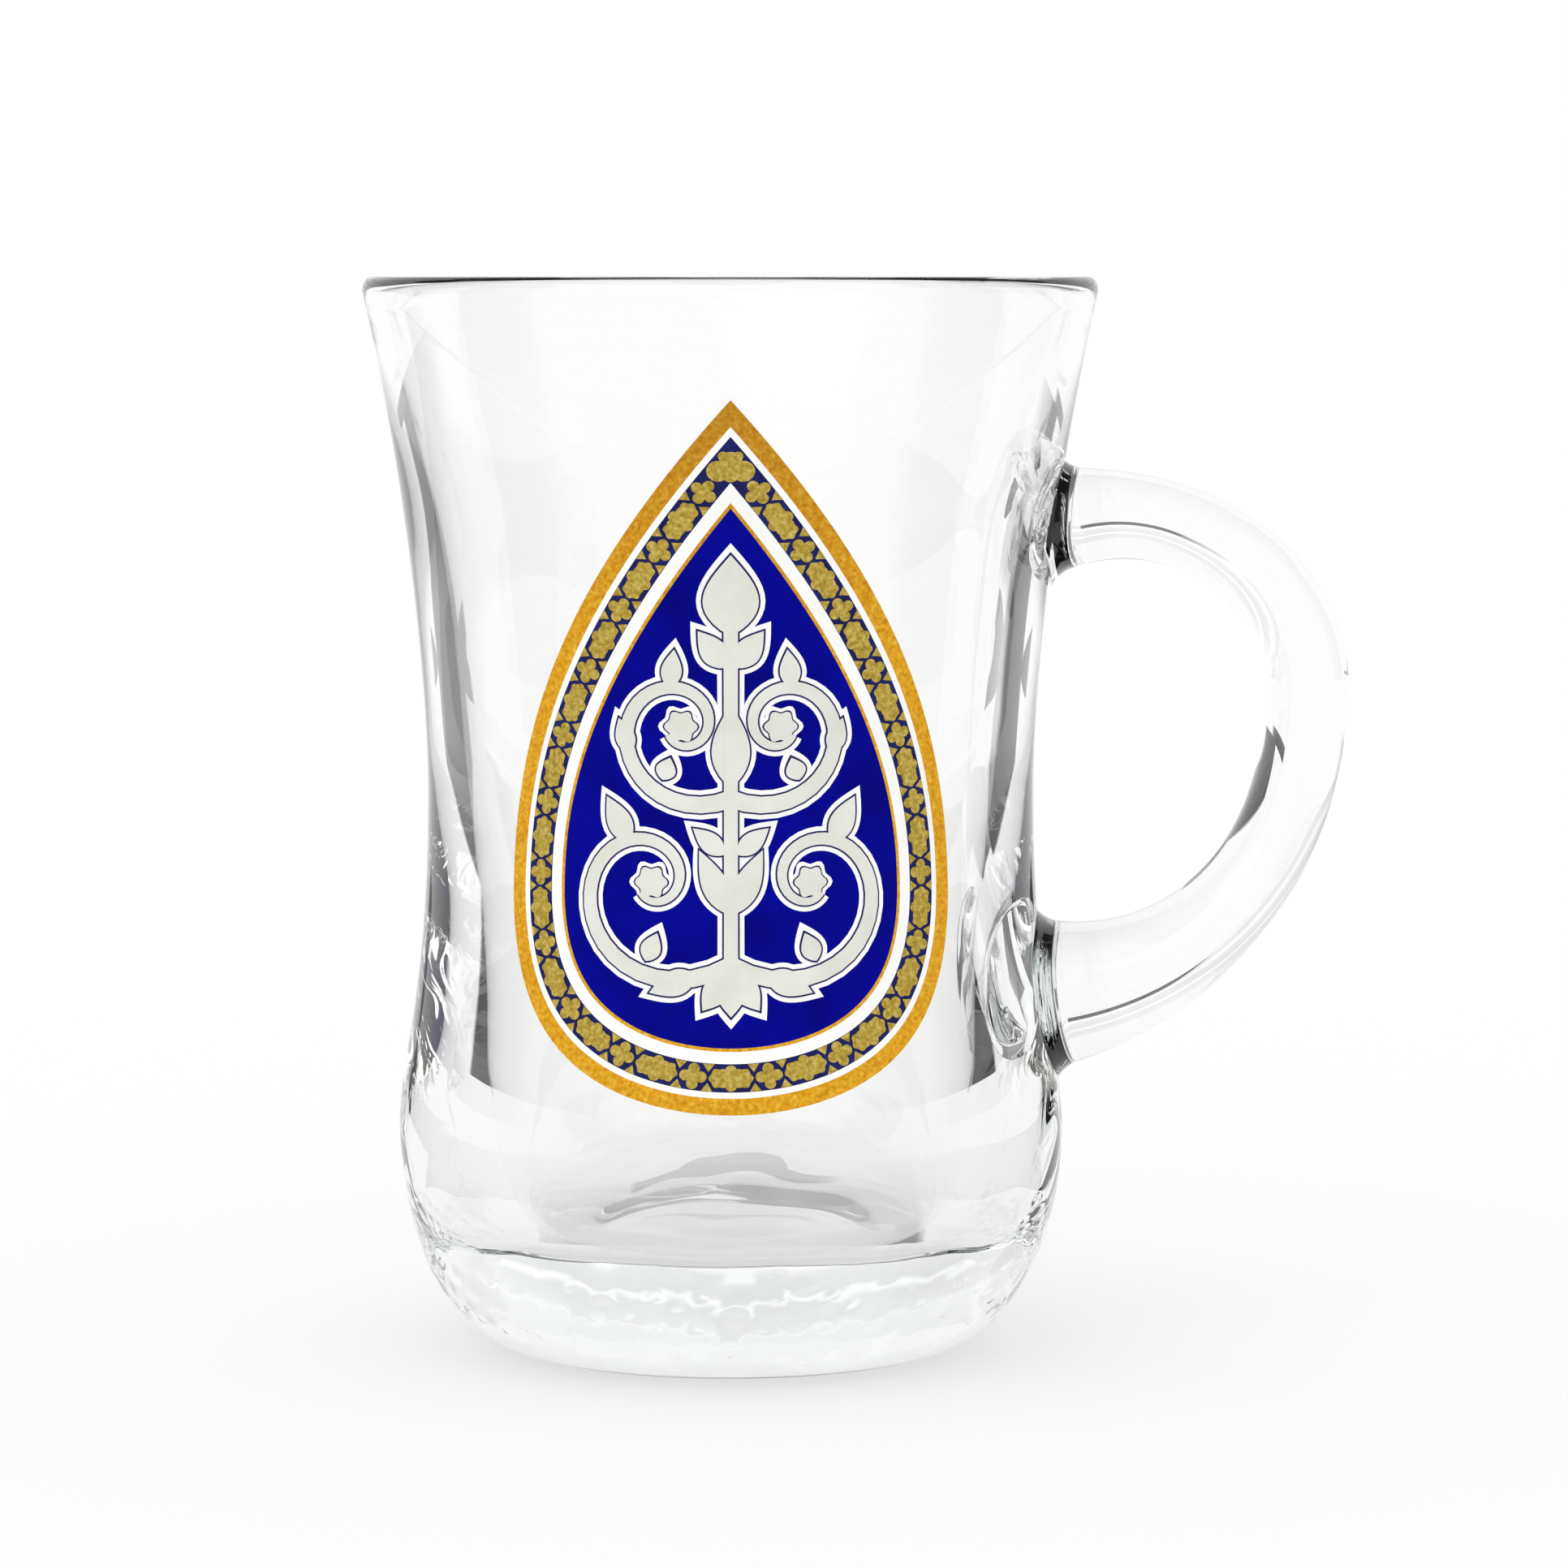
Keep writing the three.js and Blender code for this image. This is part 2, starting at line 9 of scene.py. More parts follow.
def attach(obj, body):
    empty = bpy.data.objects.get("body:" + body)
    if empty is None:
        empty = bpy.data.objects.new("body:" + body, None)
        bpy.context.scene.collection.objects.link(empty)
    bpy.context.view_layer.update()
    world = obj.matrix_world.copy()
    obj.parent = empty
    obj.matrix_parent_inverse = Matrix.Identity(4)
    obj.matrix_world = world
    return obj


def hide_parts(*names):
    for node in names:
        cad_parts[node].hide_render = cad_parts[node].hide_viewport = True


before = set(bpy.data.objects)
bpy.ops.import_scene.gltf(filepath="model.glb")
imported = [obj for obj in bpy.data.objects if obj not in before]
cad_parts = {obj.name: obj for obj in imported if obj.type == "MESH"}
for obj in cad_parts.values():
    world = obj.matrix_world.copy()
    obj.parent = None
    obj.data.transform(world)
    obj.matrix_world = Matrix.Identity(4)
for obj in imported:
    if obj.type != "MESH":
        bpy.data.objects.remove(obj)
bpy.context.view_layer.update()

MM = 0.001

# Outside of the body
HEIGHT = 102.3
RIM_DIAMETER = 70
RIM_LEAN_DEG = 12.8
WAIST_DIAMETER = 58
WAIST_HEIGHT = 54
BULGE_DIAMETER = 63.8
BULGE_HEIGHT = 21.5
FOOT_DIAMETER = 40
RECESS_DIAMETER = 36
RECESS_DEPTH = 0.6
RECESS_BEVEL = 9
BULGE_EASE = 6
WAIST_EASE_BELOW = 20
WAIST_EASE_ABOVE = 8
RIM_EASE = 19.5

# Inside of the body
RIM_WALL = 2
LIP_RISE = 1.3
WAIST_WALL = 3.7
BULGE_WALL = 8
BASE_THICKNESS = 12
FLOOR_FILLET_WIDTH = 4.5
FLOOR_FILLET_HEIGHT = 16
CAVITY_WAIST_LEAN_DEG = 4
CAVITY_RIM_LEAN_DEG = 11
CAVITY_EASE_ABOVE = 25
CAVITY_EASE_BELOW = 12

# Handle
TOP_ROOT_HEIGHT = 78.8
LOW_ROOT_HEIGHT = 33.5
HANDLE_MID_HEIGHT = 63.7
FINGER_GAP = 22.4
HANDLE_THICKNESS = 7.8
HANDLE_WIDTH = 11
TOP_ROOT_THICKNESS = 10.6
TOP_ROOT_WIDTH = 15
TOP_ROOT_FLARE = 15
LOW_ROOT_THICKNESS = 15.3
LOW_ROOT_WIDTH = 17
LOW_ROOT_FLARE = 32
TOP_ARM_EASE = 15.5
TOP_ARM_RISE_DEG = 14
LOW_ARM_EASE = 15.4
LOW_ARM_RISE_DEG = 1.5
GRIP_EASE_ABOVE = 8.7
GRIP_EASE_BELOW = 18.6
SECTION_SQUARENESS = 2.3
WELD_FILLET = 2
WELD_FILLET_SHARE = 0.45

# Chill marks: shallow waves that the mould leaves on the lower body, and finer ones on the heel
CHILL_DEPTH = 0.09
CHILL_TOP = 24
CHILL_FADE = 8
BROAD_SHARE = 0.6
HEEL_DEPTH = 0.045
HEEL_TOP = 13
HEEL_FADE = 4
FOOT_CLEAR_HEIGHT = 0.3
FOOT_FADE_HEIGHT = 2.5

# Each wave: its count round the body, its turn per millimetre up, and the size, count and start of its sway
BROAD_WAVE = (6, 0.16, 0.9, 2, 0)
FINE_WAVE = (15, -0.35, 1.3, 3, 0.8)
ACROSS_WAVE = (27, 1.7, 1.9, 4, 0)
CROSSING_WAVE = (38, -2.1, 1.4, 7, 1.1)

# Medallion, measured on the unrolled sheet
PRINT_RIM_CLEARANCE = 11
PRINT_BOTTOM = 26.4
PRINT_WIDEST_HEIGHT = 46.9
PRINT_WIDTH = 43.9
PRINT_TIP_HALF_ANGLE_DEG = 38.7
PRINT_TIP_EASE = 31
PRINT_SIDE_EASE_ABOVE = 9.8
PRINT_SIDE_EASE_BELOW = 15
PRINT_BOTTOM_EASE = 10.3
GOLD_BORDER = 1.5
WHITE_LINE = 0.55
BLUE_BAND = 2.55
WHITE_BAND = 1.1
GOLD_LINE = 0.3
INK_THICKNESS = 0.025
INK_STEP = 0.035

# Gold chain on the blue band
CHAIN_PITCH = 3.4
CHAIN_TIP_GAP = 3.7
ROSETTE_PAIR_SPREAD = 0.98
ROSETTE_PAIR_RADIUS = 0.95
ROSETTE_PAIR_LOBE_DEPTH = 0.16
LOBE_SPREAD = 0.68
LOBE_RADIUS = 0.5
WEDGE_HALF_WIDTH = 0.5
WEDGE_HEIGHT = 0.75
WEDGE_MARGIN = 0.04
WEDGE_SHIFT = 0.37

# Discs of the flower at the tip of the band: place from the tip, and radius
TIP_FLOWER = (
    (-1.05, -3.1, 0.95),
    (1.05, -3.1, 0.95),
    (0, -2.3, 0.95),
    (0, -3.4, 0.7),
    (-0.62, -1.75, 0.42),
    (0.62, -1.75, 0.42),
)

# Ornament of the inner field, drawn on a grid that divides half the field's width
GRID_COUNT = 16
STEM_WIDTH = 2.4
STEM_BOTTOM = -9
STEM_TOP = 24
VINE_WIDTH = 2.7
VINE_TIP_WIDTH = 1.7
VINE_TURNS = 1.25
LEAF_WIDTH = 3.5
LEAF_FOOT_TRIM = 1.3
LEAF_LENGTH_TRIM = 3.2
LEAF_SWELL_POWER = 0.8
SHOOT_WIDTH = 3
KNOT_WIDTH = 4.6
BUD_WIDTH = 6
ROSETTE_RADIUS = 2.1
ROSETTE_LOBES = 6
ROSETTE_LOBE_DEPTH = 0.22
HALO_WIDTH = 0.42
KEYLINE_WIDTH = 0.15

# Each volute: x and rise of its eye, rise where it leaves the stem, and shrinkage in a turn
VOLUTES = ((7.3, 0.5, -7, 0.2), (4.5, 14.8, 8.2, 0.25))

# Each leaf: x and rise of its foot, lean in degrees, length in grid units, and width
MIDDLE_LEAVES = (
    (0, 22.4, 0, 9.2, BUD_WIDTH),
    (0, 8.5, 0, 9.5, KNOT_WIDTH),
    (0, -7.6, 180, 5.2, LEAF_WIDTH),
)
PAIRED_LEAVES = (
    (0, 19.6, 36, 6, LEAF_WIDTH),
    (5.6, 17.6, -8, 5.4, SHOOT_WIDTH),
    (9, 11.6, 18, 5.2, SHOOT_WIDTH),
    (6.5, 9.2, -20, 4, SHOOT_WIDTH),
    (9, 3.4, 28, 6.6, LEAF_WIDTH),
    (0, 2.6, 50, 5.6, SHOOT_WIDTH),
    (0, -3, 24, 8.2, LEAF_WIDTH),
    (8, -7.4, -22, 4.6, SHOOT_WIDTH),
    (2.4, -7.6, 112, 6.4, LEAF_WIDTH),
    (0, -7.4, 146, 5.6, LEAF_WIDTH),
)

# Fineness
TURN_STEPS = 300
WALL_STEPS = 36
FOOT_STEPS = 48
LIP_STEPS = 12
FLAT_POINTS = 8
RING_POINTS = 4
RECESS_STEPS = 16
HANDLE_STEPS = 120
HANDLE_SIDES = 48
ROOT_STRETCH = 7
ROOT_STEPS = 35
PRINT_STEPS = 150
CHAIN_STEPS = 1200
CURVE_REFINEMENT = 4
SHEET_SPACING = 1.1
SHEET_TOLERANCE = 1e-5
VINE_STEPS = 44
LEAF_STEPS = 14
LOBE_STEPS = 6
DISC_STEPS = 18
CREASE_DEG = 24
CARD_STEPS = 100
TINY = 1e-9

# Glass and enamel
GLASS_COLOUR = (0.99, 0.992, 0.988, 1)
GLASS_IOR = 1.5
GLASS_DEPTH_COLOUR = (0.78, 0.84, 0.81, 1)
GLASS_DENSITY = 5
GLASS_RIPPLE_SIZE = 14
GLASS_RIPPLE_HEIGHT = 0.05
INK_RELIEF_SIZE = 0.5
GOLD_BROWN_START = 68
GOLD_BROWN = (0.68, 0.62, 0.8, 1)

# Floor, light and camera
FLOOR_REACH = 8000
FLOOR_DROP = 0.3
FLOOR_SHADOW = 0.35
FLOOR_COLOUR = (0.9, 0.9, 0.9, 1)
SUN_STRENGTH = 0.45
SUN_SPREAD_DEG = 70
SUN_TURN_DEG = (35, -20, 0)
CAMERA_PLACE = (0, -540, 102.3)
CAMERA_TILT_DEG = 5.13
CAMERA_NEAR = 10
AIM_RIGHT = 0.00941
LENS = 129.7
SENSOR_WIDTH = 36
MAX_BOUNCES = 32
TRANSMISSION_BOUNCES = 24
GLOSSY_BOUNCES = 12

# Grey cards. Each row: reach, height, azimuths of its two ends in degrees from straight behind, and grey
RIGHT_FLOOR = (
    (80, 0, 61, 140, 0.06),
    (130, 0, 58, 140, 0.05),
    (200, 0, 40, 140, 0.05),
    (300, 0, 32, 58, 0.07),
    (360, 0, 32, 54, 0.09),
    (455, 0, 32, 54, 0.09),
    (465, 0, 23, 40, 0.1),
    (520, 0, 23, 40, 0.15),
)
LEFT_FLOOR = (
    (80, 0, -64, -140, 0.1),
    (130, 0, -62, -140, 0.12),
    (200, 0, -42, -140, 0.15),
    (300, 0, -32, -75, 0.2),
    (360, 0, -31, -75, 0.25),
    (455, 0, -31, -75, 0.25),
    (465, 0, -24, -75, 0.3),
    (520, 0, -24, -75, 0.3),
)
RIGHT_RAISED = (
    (600, 40, 66, 110, 0.2),
    (600, 390, 66, 110, 0.2),
    (600, 400, 48, 110, 0.15),
    (600, 1000, 38, 110, 0.15),
)
CEILING = ((1, 420, 180, 540, 0.3), (380, 420, 180, 540, 0.3))
# Painted shade on the floor before the foot: a grey card that only glass sees, shown in the base
FRONT_PAINTED_SHADE = ((28, 0, 110, 250, 0.4), (62, 0, 110, 250, 0.5))
BAR = ((1990, 160, -9, 12, 0.15), (1990, 230, -9, 12, 0.2))
CARD_LIFT = 0.05
CARD_FADE_IN = 0.03
CARD_FADE_OUT = 0.3

# Stripes far behind the glass: height and grey of each row
STRIPE_REACH = 2000
STRIPE_SPREAD_DEG = 60
STRIPE_ROWS = (
    (150, 1),
    (165, 0.82),
    (215, 0.85),
    (240, 1),
    (265, 1),
    (300, 0.85),
    (400, 0.8),
    (425, 1),
    (445, 1),
    (480, 0.82),
    (600, 0.87),
    (650, 1),
)

rim_radius = RIM_DIAMETER / 2
waist_radius = WAIST_DIAMETER / 2
bulge_radius = BULGE_DIAMETER / 2
foot_radius = FOOT_DIAMETER / 2
recess_radius = RECESS_DIAMETER / 2
lip_height = HEIGHT - LIP_RISE
bulge_inside = bulge_radius - BULGE_WALL
fillet_top = BASE_THICKNESS + FLOOR_FILLET_HEIGHT
print_top = HEIGHT - PRINT_RIM_CLEARANCE
print_half_width = PRINT_WIDTH / 2
band_inset = GOLD_BORDER + WHITE_LINE
white_band_inset = band_inset + BLUE_BAND
gold_line_inset = white_band_inset + WHITE_BAND
field_inset = gold_line_inset + GOLD_LINE
grid_unit = (print_half_width - field_inset) / GRID_COUNT


def slope(degrees):
    return math.tan(math.radians(degrees))


def smooth_share(low, high, value):
    share = np.clip((value - low) / (high - low), 0, 1)
    return share * share * (3 - 2 * share)


# Plane curves as arrays of points
def bezier(a, b, c, d, steps):
    t = np.linspace(0, 1, steps + 1)[:, None]
    a, b, c, d = (np.array(p, float) for p in (a, b, c, d))
    return (1 - t) ** 3 * a + 3 * (1 - t) ** 2 * t * b + 3 * (1 - t) * t**2 * c + t**3 * d


def arc(centre, radii, start_deg, end_deg, steps):
    angle = np.radians(np.linspace(start_deg, end_deg, steps + 1))
    return np.column_stack((centre[0] + radii[0] * np.cos(angle), centre[1] + radii[1] * np.sin(angle)))


def level_line(start, end, height, count):
    return np.column_stack((np.linspace(start, end, count), np.full(count, height)))


def join(*curves):
    return np.vstack([curves[0]] + [curve[1:] for curve in curves[1:]])


def line_travel(line):
    return np.concatenate(([0], np.cumsum(np.hypot(*np.diff(line, axis=0).T))))


def line_length(line):
    return line_travel(line)[-1]


def points_at(line, stops):
    travel = line_travel(line)
    return np.column_stack((np.interp(stops, travel, line[:, 0]), np.interp(stops, travel, line[:, 1])))


def even_points(line, steps):
    return points_at(line, np.linspace(0, line_length(line), steps + 1))


def directions(line):
    along = np.gradient(line, axis=0)
    return along / np.linalg.norm(along, axis=1)[:, None]


def make_mesh(name, points, faces):
    mesh = bpy.data.meshes.new(name)
    mesh.from_pydata([tuple(p) for p in np.asarray(points) * MM], [], faces)
    mesh.validate()
    piece = bpy.data.objects.new(name, mesh)
    bpy.context.scene.collection.objects.link(piece)
    return piece


# Body: x of a profile point is the radius and y the height
def outer_wall():
    foot_radii = (bulge_radius - foot_radius, BULGE_HEIGHT)
    foot = arc((foot_radius, BULGE_HEIGHT), foot_radii, -90, 0, FOOT_STEPS)
    belly = bezier(
        (bulge_radius, BULGE_HEIGHT),
        (bulge_radius, BULGE_HEIGHT + BULGE_EASE),
        (waist_radius, WAIST_HEIGHT - WAIST_EASE_BELOW),
        (waist_radius, WAIST_HEIGHT),
        WALL_STEPS,
    )
    flare = bezier(
        (waist_radius, WAIST_HEIGHT),
        (waist_radius, WAIST_HEIGHT + WAIST_EASE_ABOVE),
        (rim_radius - RIM_EASE * slope(RIM_LEAN_DEG), lip_height - RIM_EASE),
        (rim_radius, lip_height),
        WALL_STEPS,
    )
    return join(foot, belly, flare)


def inner_wall():
    waist_inside = waist_radius - WAIST_WALL
    waist_lean = slope(CAVITY_WAIST_LEAN_DEG)
    rim_inside = rim_radius - RIM_WALL
    flare = bezier(
        (rim_inside, lip_height),
        (rim_inside - CAVITY_EASE_ABOVE * slope(CAVITY_RIM_LEAN_DEG), lip_height - CAVITY_EASE_ABOVE),
        (waist_inside + CAVITY_EASE_ABOVE * waist_lean, WAIST_HEIGHT + CAVITY_EASE_ABOVE),
        (waist_inside, WAIST_HEIGHT),
        WALL_STEPS,
    )
    side = bezier(
        (waist_inside, WAIST_HEIGHT),
        (waist_inside - CAVITY_EASE_BELOW * waist_lean, WAIST_HEIGHT - CAVITY_EASE_BELOW),
        (bulge_inside, fillet_top + CAVITY_EASE_BELOW),
        (bulge_inside, fillet_top),
        WALL_STEPS,
    )
    fillet_centre = (bulge_inside - FLOOR_FILLET_WIDTH, fillet_top)
    fillet = arc(fillet_centre, (FLOOR_FILLET_WIDTH, FLOOR_FILLET_HEIGHT), 0, -90, WALL_STEPS)
    floor = level_line(fillet_centre[0], 0, BASE_THICKNESS, FLAT_POINTS)
    return join(flare, side, fillet, floor)


def under_side():
    panel_radius = recess_radius - RECESS_BEVEL
    middle = recess_radius - RECESS_BEVEL / 2
    panel = level_line(0, panel_radius, RECESS_DEPTH, FLAT_POINTS)
    edge = bezier(
        (panel_radius, RECESS_DEPTH),
        (middle, RECESS_DEPTH),
        (middle, 0),
        (recess_radius, 0),
        RECESS_STEPS,
    )
    ring = level_line(recess_radius, foot_radius, 0, RING_POINTS)
    return join(panel, edge, ring)


WALL = outer_wall()


def wall_radius(height):
    return np.interp(height, WALL[:, 1], WALL[:, 0])


def wave(angle, height, count, turn, sway, sway_count, sway_start):
    return np.sin(count * angle + turn * height + sway * np.sin(sway_count * angle + sway_start))


def chill_wave(angle, height):
    start = smooth_share(FOOT_CLEAR_HEIGHT, FOOT_FADE_HEIGHT, height)
    body_fade = start * (1 - smooth_share(CHILL_TOP - CHILL_FADE, CHILL_TOP, height))
    heel_fade = start * (1 - smooth_share(HEEL_TOP - HEEL_FADE, HEEL_TOP, height))
    broad = wave(angle, height, *BROAD_WAVE)
    fine = wave(angle, height, *FINE_WAVE)
    across = wave(angle, height, *ACROSS_WAVE)
    crossing = wave(angle, height, *CROSSING_WAVE)
    body_wave = CHILL_DEPTH * body_fade * (BROAD_SHARE * broad + (1 - BROAD_SHARE) * fine)
    return body_wave + HEEL_DEPTH * heel_fade * (across + crossing + across * crossing) / 2


# Closed turned mesh: the profile starts and ends on the axis
def turned(name, profile, outside_count):
    turn = np.linspace(0, 2 * math.pi, TURN_STEPS, endpoint=False)
    points = [(0, 0, profile[0][1])]
    for i, (radius, height) in enumerate(profile[1:-1]):
        reach = radius + (chill_wave(turn, height) if i < outside_count else 0)
        points += list(zip(reach * np.cos(turn), reach * np.sin(turn), np.full(TURN_STEPS, height)))
    points.append((0, 0, profile[-1][1]))
    top = len(profile) - 3
    last = len(points) - 1

    def corner(ring, j):
        return 1 + ring * TURN_STEPS + j % TURN_STEPS

    faces = []
    for j in range(TURN_STEPS):
        faces.append((0, corner(0, j + 1), corner(0, j)))
        faces.append((last, corner(top, j), corner(top, j + 1)))
        for k in range(top):
            faces.append((corner(k, j), corner(k, j + 1), corner(k + 1, j + 1), corner(k + 1, j)))
    return make_mesh(name, points, faces)


def body_mesh():
    lip = arc((rim_radius - RIM_WALL / 2, lip_height), (RIM_WALL / 2, LIP_RISE), 0, 180, LIP_STEPS)
    outside = join(under_side(), WALL)
    profile = join(outside, lip, inner_wall())
    return turned("glass", profile, len(outside) - 1)


# Handle: a loft of rounded-square sections along a curve in the XZ plane
def handle_line():
    top = (wall_radius(TOP_ROOT_HEIGHT) - WAIST_WALL / 2, TOP_ROOT_HEIGHT)
    low = (wall_radius(LOW_ROOT_HEIGHT) - WAIST_WALL / 2, LOW_ROOT_HEIGHT)
    grip = (waist_radius + FINGER_GAP + HANDLE_THICKNESS / 2, HANDLE_MID_HEIGHT)
    upper = bezier(
        top,
        (top[0] + TOP_ARM_EASE, top[1] + TOP_ARM_EASE * slope(TOP_ARM_RISE_DEG)),
        (grip[0], grip[1] + GRIP_EASE_ABOVE),
        grip,
        CURVE_REFINEMENT * HANDLE_STEPS,
    )
    lower = bezier(
        grip,
        (grip[0], grip[1] - GRIP_EASE_BELOW),
        (low[0] + LOW_ARM_EASE, low[1] + LOW_ARM_EASE * slope(LOW_ARM_RISE_DEG)),
        low,
        CURVE_REFINEMENT * HANDLE_STEPS,
    )
    return join(upper, lower)


# Stations along the handle, closer together near the two roots
def handle_stops(length):
    root = np.linspace(0, ROOT_STRETCH, ROOT_STEPS + 1)
    grip = np.linspace(ROOT_STRETCH, length - ROOT_STRETCH, HANDLE_STEPS + 1)
    return np.concatenate((root[:-1], grip, length - root[-2::-1]))


def squared(wave_values):
    return np.sign(wave_values) * np.abs(wave_values) ** (2 / SECTION_SQUARENESS)


# Growth that rounds the corner between the handle and the wall, given a point's distance from the wall
def weld_growth(distance):
    clear = np.clip(distance / WELD_FILLET, 0, 1)
    return WELD_FILLET * WELD_FILLET_SHARE * (1 - clear) ** 2


# Sides of the loft and its two end caps
def loft_faces(last):
    def corner(i, j):
        return i * HANDLE_SIDES + j % HANDLE_SIDES

    sides = range(HANDLE_SIDES)
    faces = [
        (corner(i, j), corner(i + 1, j), corner(i + 1, j + 1), corner(i, j + 1))
        for i in range(last)
        for j in sides
    ]
    faces.append([corner(0, j) for j in sides])
    faces.append([corner(last, j) for j in reversed(sides)])
    return faces


def handle_mesh():
    curve = handle_line()
    travel = handle_stops(line_length(curve))
    line = points_at(curve, travel)
    along = np.column_stack([np.gradient(line[:, k], travel) for k in range(2)])
    along /= np.linalg.norm(along, axis=1)[:, None]
    top = np.maximum(0, 1 - travel / TOP_ROOT_FLARE) ** 2
    low = np.maximum(0, 1 - (travel[-1] - travel) / LOW_ROOT_FLARE) ** 2

    def grown(middle, at_top, at_low):
        return middle + (at_top - middle) * top + (at_low - middle) * low

    def placed(i, section):
        rise, depth = section.T
        return line[i, 0] - along[i, 1] * rise, depth, line[i, 1] + along[i, 0] * rise

    thickness = grown(HANDLE_THICKNESS, TOP_ROOT_THICKNESS, LOW_ROOT_THICKNESS)
    width = grown(HANDLE_WIDTH, TOP_ROOT_WIDTH, LOW_ROOT_WIDTH)
    turn = np.linspace(0, 2 * math.pi, HANDLE_SIDES, endpoint=False)
    rounded = np.column_stack((squared(np.cos(turn)), squared(np.sin(turn))))
    points = []
    for i in range(len(travel)):
        section = rounded * (thickness[i] / 2, width[i] / 2)
        x, y, z = placed(i, section)
        growth = weld_growth(np.hypot(x, y) - wall_radius(z))
        section *= (1 + growth / np.linalg.norm(section, axis=1))[:, None]
        points += list(zip(*placed(i, section)))
    return make_mesh("handle_loft", points, loft_faces(len(travel) - 1))


# Body and handle become one closed mesh, as in the fired glass
def welded_glass():
    body = body_mesh()
    handle = handle_mesh()
    weld = body.modifiers.new("weld", "BOOLEAN")
    weld.operation = "UNION"
    weld.solver = "EXACT"
    weld.object = handle
    graph = bpy.context.evaluated_depsgraph_get()
    body.data = bpy.data.meshes.new_from_object(body.evaluated_get(graph))
    body.modifiers.clear()
    bpy.data.objects.remove(handle)
    body.data.shade_smooth()
    body.data.set_sharp_from_angle(angle=math.radians(CREASE_DEG))
    return body


# Medallion outlines are drawn flat: x is the distance round the waist from the front line, y the height
def half_outline(inset, steps):
    tip = math.radians(PRINT_TIP_HALF_ANGLE_DEG)
    lower = bezier(
        (0, PRINT_BOTTOM),
        (PRINT_BOTTOM_EASE, PRINT_BOTTOM),
        (print_half_width, PRINT_WIDEST_HEIGHT - PRINT_SIDE_EASE_BELOW),
        (print_half_width, PRINT_WIDEST_HEIGHT),
        CURVE_REFINEMENT * PRINT_STEPS,
    )
    upper = bezier(
        (print_half_width, PRINT_WIDEST_HEIGHT),
        (print_half_width, PRINT_WIDEST_HEIGHT + PRINT_SIDE_EASE_ABOVE),
        (PRINT_TIP_EASE * math.sin(tip), print_top - PRINT_TIP_EASE * math.cos(tip)),
        (0, print_top),
        CURVE_REFINEMENT * PRINT_STEPS,
    )
    edge = join(lower, upper)
    along = directions(edge)
    line = edge + inset * np.column_stack((-along[:, 1], along[:, 0]))
    line[0] = (0, PRINT_BOTTOM + inset)
    inside = line[:, 0] >= 0
    end = len(line) if inside.all() else int(np.argmin(inside))
    before, after = line[end - 1], line[min(end, len(line) - 1)]
    share = before[0] / max(before[0] - after[0], TINY)
    tip_point = (0, before[1] + share * (after[1] - before[1]))
    return even_points(np.vstack((line[:end], [tip_point])), steps)


def mirrored(loop):
    return np.asarray(loop) * (-1, 1)


def teardrop(inset):
    right = half_outline(inset, PRINT_STEPS)
    return np.vstack((right, mirrored(right[1:-1])[::-1]))


def anticlockwise(loop):
    x, y = np.asarray(loop).T
    area = np.sum(x * np.roll(y, -1) - np.roll(x, -1) * y)
    return loop if area > 0 else loop[::-1]


# Triangles of the joined shapes less the holes, with inner points close enough to follow the wall
def flat_sheet(shapes, holes=()):
    points = []
    loops = []
    for loop in [*shapes, *holes]:
        loops.append(list(range(len(points), len(points) + len(loop))))
        points += [tuple(p) for p in anticlockwise(loop)]
    low = np.min(points, axis=0)
    high = np.max(points, axis=0)
    for x in np.arange(low[0], high[0], SHEET_SPACING):
        for y in np.arange(low[1], high[1], SHEET_SPACING):
            points.append((x, y))
    places = [Vector(p) for p in points]
    inside_only = 1
    corners, _, triangles, _, _, owners = delaunay_2d_cdt(places, [], loops, inside_only, SHEET_TOLERANCE)
    kept = [
        triangle
        for triangle, owner in zip(triangles, owners)
        if owner and max(owner) < len(shapes)
    ]
    used = sorted({i for triangle in kept for i in triangle})
    place = {old: new for new, old in enumerate(used)}
    flat = np.array([corners[i] for i in used])
    return flat, [tuple(place[i] for i in triangle) for triangle in kept]


def on_wall(flat, lift):
    angle = flat[:, 0] / waist_radius
    reach = wall_radius(flat[:, 1]) + lift
    return np.column_stack((reach * np.sin(angle), -reach * np.cos(angle), flat[:, 1]))


# Closed film of ink on the wall. Each layer stands a step further out.
def film(name, sheet, layer):
    flat, triangles = sheet
    lift = INK_STEP * (layer + 1)
    count = len(flat)
    points = np.vstack((on_wall(flat, lift), on_wall(flat, lift - INK_THICKNESS)))
    edges = {(t[k], t[(k + 1) % 3]) for t in triangles for k in range(3)}
    faces = list(triangles)
    faces += [tuple(count + i for i in reversed(t)) for t in triangles]
    faces += [(a, count + a, count + b, b) for a, b in sorted(edges) if (b, a) not in edges]
    return make_mesh(name, points, faces)


def ring_film(name, outer_inset, inner_inset):
    return film(name, flat_sheet([teardrop(outer_inset)], [teardrop(inner_inset)]), 0)


def disc(centre, radius, lobes=0, depth=0):
    steps = max(DISC_STEPS, lobes * LOBE_STEPS)
    angle = np.linspace(0, 2 * math.pi, steps, endpoint=False)
    reach = radius * (1 - depth * (1 - np.cos(angle * lobes)) / 2)
    return np.column_stack((centre[0] + reach * np.cos(angle), centre[1] + reach * np.sin(angle)))


